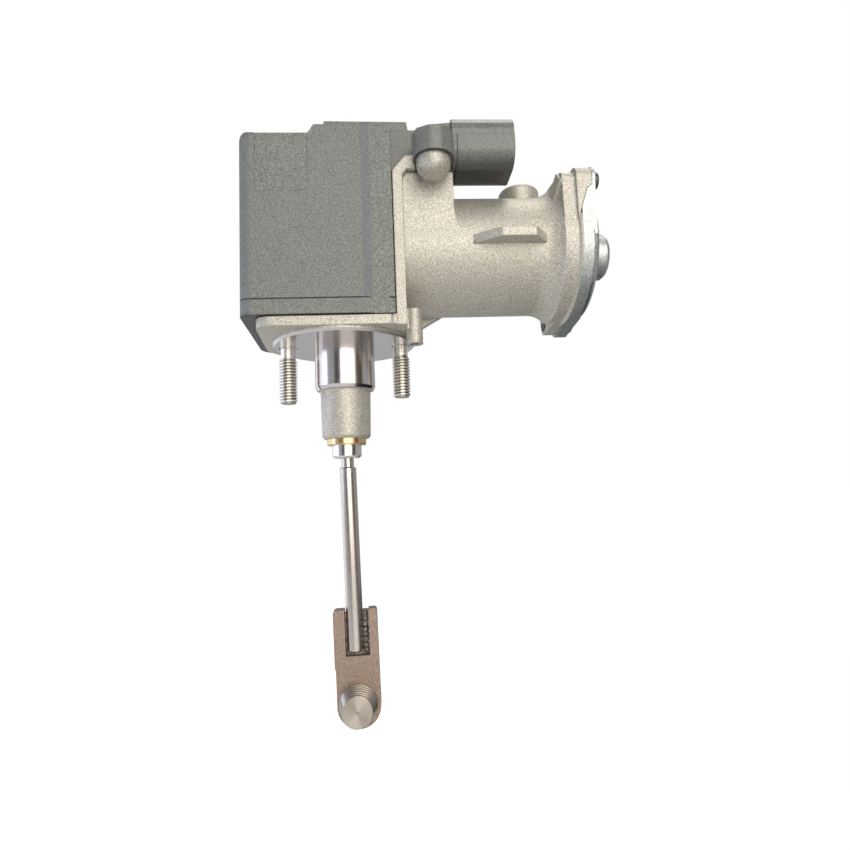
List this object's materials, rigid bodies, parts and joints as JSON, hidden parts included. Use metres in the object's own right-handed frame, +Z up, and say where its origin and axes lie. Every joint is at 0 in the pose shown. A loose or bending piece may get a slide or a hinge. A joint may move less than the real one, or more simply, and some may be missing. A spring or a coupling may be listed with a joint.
{
  "type": "electronic wastegate actuator",
  "caption": "Electric actuator with a cast motor housing, plastic gearbox cover and connector, stud flange, sliding shaft and a rod with a pinned end plate.",
  "frame": {"origin": "on the shaft axis, in the plane of the machined mounting pad, midway between the studs", "axes": "+Z up along the shaft into the gearbox, +X along the motor towards its end cover, -Y towards the camera of the picture"},
  "size_m": [0.1237, 0.0626, 0.1897],
  "materials": {
    "cast_aluminium": "sand-textured die casting",
    "cover_plastic": "glass-filled, fine grain",
    "seal_rubber": "matte",
    "zinc_steel": "zinc plated",
    "terminal_brass": "tinned brass",
    "board_laminate": "solder resist",
    "bronze": "machined bronze",
    "stud_steel": "rolled thread",
    "can_steel": "drawn sheet",
    "ferrite": "sintered",
    "black_plastic": "moulded",
    "carbon": "pressed carbon",
    "ground_steel": "ground",
    "copper_winding": "enamelled wire",
    "copper": "turned copper",
    "pinion_brass": "hobbed",
    "gear_plastic": "moulded acetal",
    "magnet_nickel": "nickel plated",
    "rod_steel": "turned",
    "plate_steel": "stamped",
    "weld_metal": "rough",
    "turned_steel": "turned face",
    "black_steel": "black oxide"
  },
  "bodies": {
    "casing": {"housing": "cast_aluminium", "gearbox_cover": "cover_plastic", "cover_seal": "seal_rubber", "cover_screws": "zinc_steel", "terminal_pins": "terminal_brass", "sensor_board": "board_laminate", "guide_bush": "bronze", "shaft_seal": "seal_rubber", "studs": "stud_steel", "motor_can": "can_steel", "motor_magnets": "ferrite", "motor_end_plate": "can_steel", "motor_bearings": "bronze", "brush_holder": "black_plastic", "brushes": "carbon", "intermediate_axle": "ground_steel", "output_axle": "ground_steel", "motor_cover": "zinc_steel", "motor_cover_seal": "seal_rubber", "motor_cover_screws": "black_steel", "spring_washer": "can_steel"},
    "rotor": {"motor_shaft": "ground_steel", "armature": "copper_winding", "commutator": "copper", "motor_pinion": "pinion_brass"},
    "intermediate": {"intermediate_gear": "gear_plastic"},
    "output": {"output_gear": "gear_plastic", "magnet_holder": "black_plastic", "sensor_magnets": "magnet_nickel"},
    "shaft": {"output_shaft": "ground_steel"},
    "rod": {"actuating_rod": "rod_steel", "end_plate": "plate_steel", "weld_bead": "weld_metal", "drive_pin": "turned_steel"}
  },
  "joints": [
    {"name": "motor_spin", "type": "hinge", "parent": "casing", "child": "rotor", "pos_m": [0, 0, 0.03], "axis": [1, 0, 0], "range_deg": [0, 1136.37]},
    {"name": "intermediate_spin", "type": "hinge", "parent": "casing", "child": "intermediate", "pos_m": [0, -0.009, 0.04098], "axis": [1, 0, 0], "range_deg": [-391, 0]},
    {"name": "output_turn", "type": "hinge", "parent": "casing", "child": "output", "pos_m": [0, 0.0075, 0.03262], "axis": [1, 0, 0], "range_deg": [0, 138]},
    {"name": "shaft_slide", "type": "slide", "parent": "casing", "child": "shaft", "axis": [0, 0, -1], "range_m": [0, 0.01202]},
    {"name": "rod_swing", "type": "hinge", "parent": "shaft", "child": "rod", "pos_m": [0, 0, -0.0335], "axis": [0, 1, 0], "range_deg": [-6, 6]}
  ],
  "couplings": [
    {"joint": "intermediate_spin", "follows": "motor_spin", "ratio": -0.34286},
    {"joint": "output_turn", "follows": "motor_spin", "ratio": 0.12101},
    {"joint": "shaft_slide", "follows": "motor_spin", "m_per_rad": 0.00060504}
  ]
}
